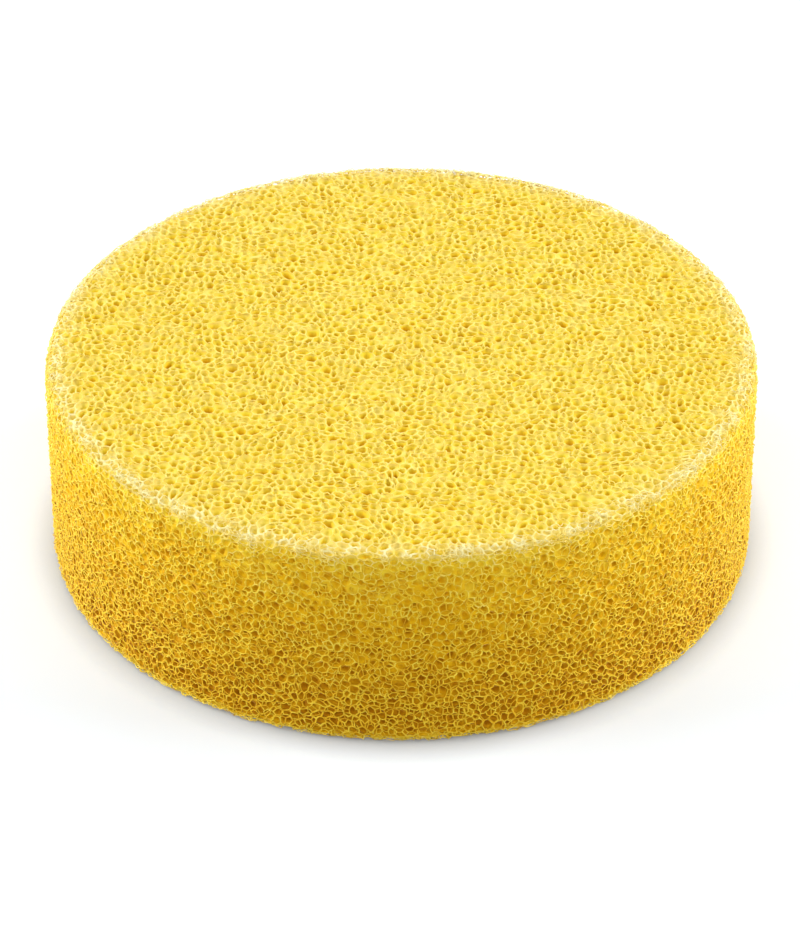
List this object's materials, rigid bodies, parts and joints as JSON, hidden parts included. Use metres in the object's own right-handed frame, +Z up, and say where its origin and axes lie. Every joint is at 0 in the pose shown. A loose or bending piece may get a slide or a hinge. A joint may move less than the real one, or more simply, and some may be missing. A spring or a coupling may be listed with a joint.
{
  "type": "round foam applicator pad",
  "caption": "Round open-cell foam applicator pad with a flat working face, a cut wall and softened rims.",
  "frame": {"origin": "centre of the lower face, which the pad rests on", "axes": "+Z up along the pad's axis, from the lower face to the working face"},
  "size_m": [0.08, 0.08, 0.025],
  "materials": {
    "foam": "open-cell polyurethane foam, matte, bright yellow, cut faces with open cells about 0.9 mm wide"
  },
  "bodies": {
    "root": {"foam_pad": "foam"}
  },
  "joints": []
}
